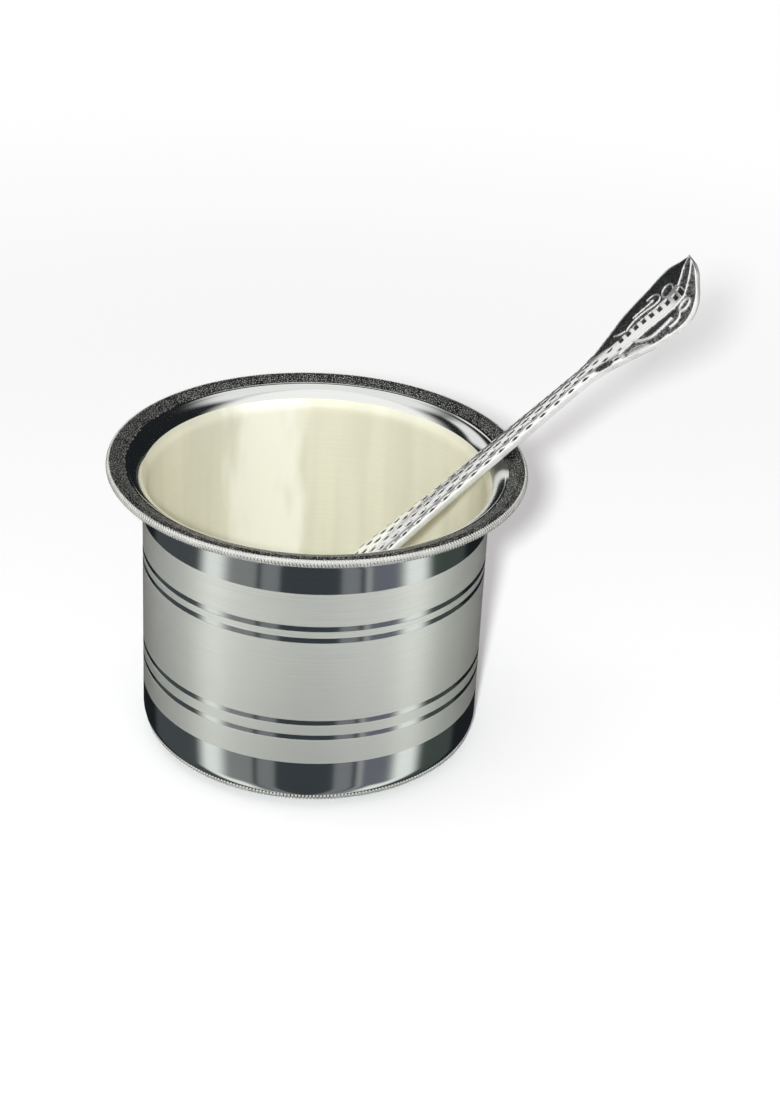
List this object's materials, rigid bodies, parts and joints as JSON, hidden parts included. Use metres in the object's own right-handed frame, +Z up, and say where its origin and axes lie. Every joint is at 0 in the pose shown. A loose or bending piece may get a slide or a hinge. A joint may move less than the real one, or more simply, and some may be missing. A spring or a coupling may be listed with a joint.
{
  "type": "ghee pot",
  "caption": "Straight-sided silver cup with a flat base, rounded heel and wide rolled rim, and a loose spoon with a snake-hood handle standing in it.",
  "frame": {"origin": "centre of the pot's flat base, on the plane that it stands on", "axes": "+Z up along the pot's axis; +X towards the side where the spoon's handle leans out, which lies 16 degrees from +X towards +Y"},
  "size_m": [0.0878, 0.064, 0.0779],
  "materials": {
    "satin_silver": "satin, turned",
    "rim_wire": "drawn wire",
    "milled_silver": "milled",
    "polished_silver": "polished",
    "struck_silver": "struck ornament, polished"
  },
  "bodies": {
    "pot": {"pot_shell": "satin_silver", "rim_wire": "rim_wire", "foot_ring": "milled_silver"},
    "spoon": {"spoon_bowl": "polished_silver", "spoon_handle": "struck_silver"}
  },
  "joints": [
    {"name": "spoon_lift", "type": "slide", "parent": "pot", "child": "spoon", "axis": [0, 0, 1], "range_m": [0, 0.055]}
  ]
}
